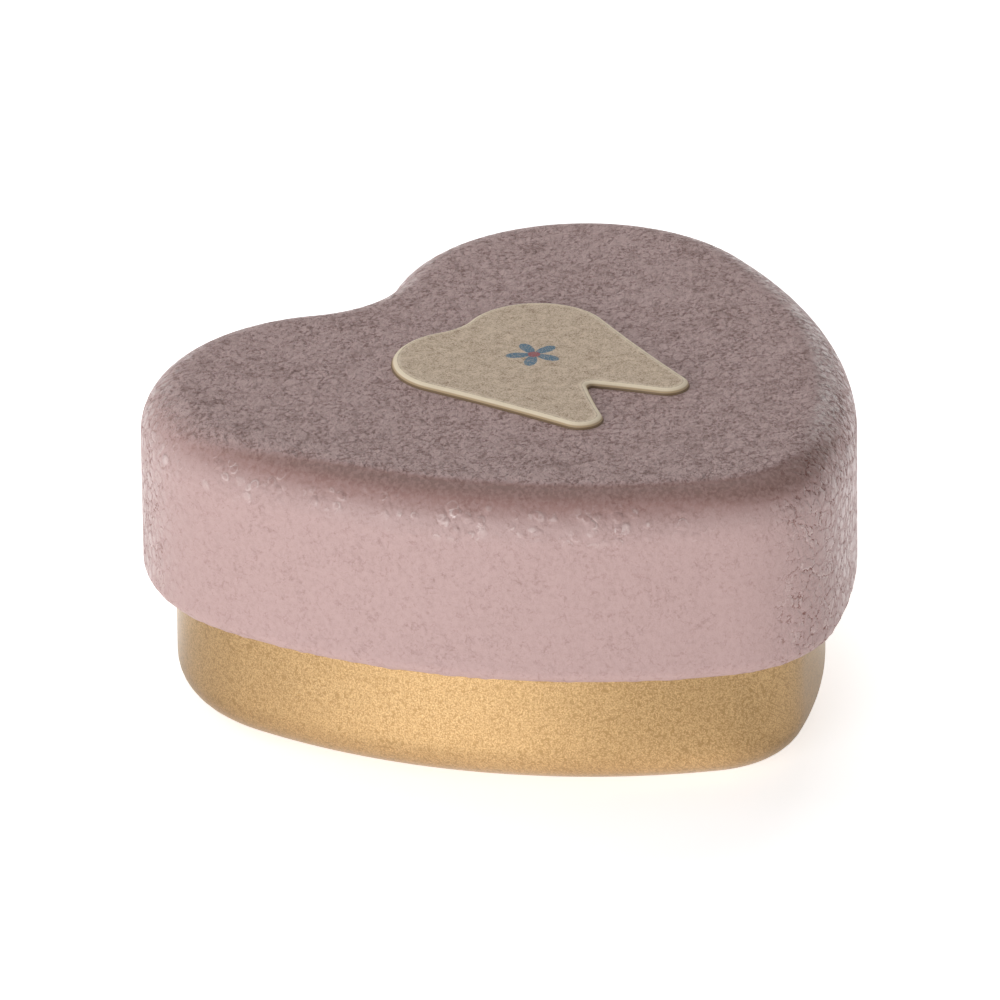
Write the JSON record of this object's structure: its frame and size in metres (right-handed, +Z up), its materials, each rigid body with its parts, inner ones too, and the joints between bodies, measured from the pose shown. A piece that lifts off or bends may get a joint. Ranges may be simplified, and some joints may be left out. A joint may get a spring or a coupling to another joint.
{
  "type": "heart-shaped keepsake tin",
  "caption": "Heart-shaped keepsake tin for milk teeth: a rose crackle-lacquered slip lid with a raised cream tooth lifts off a gold drawn base.",
  "frame": {"origin": "under the middle of the lid's outline, on the surface the tin stands on", "axes": "+Z up, +X across the heart's lobes, -Y towards the heart's point"},
  "size_m": [0.055, 0.0514, 0.0253],
  "materials": {
    "gold_paint": "satin gold paint on tinplate",
    "rose_crackle_lacquer": "satin rose crackle lacquer on tinplate",
    "cream_enamel": "satin cream enamel"
  },
  "bodies": {
    "base": {"base_shell": "gold_paint"},
    "lid": {"lid_shell": "rose_crackle_lacquer", "tooth_enamel": "cream_enamel"}
  },
  "joints": [
    {"name": "lid_lift", "type": "slide", "parent": "base", "child": "lid", "axis": [0, 0, 1], "range_m": [0, 0.035]}
  ]
}
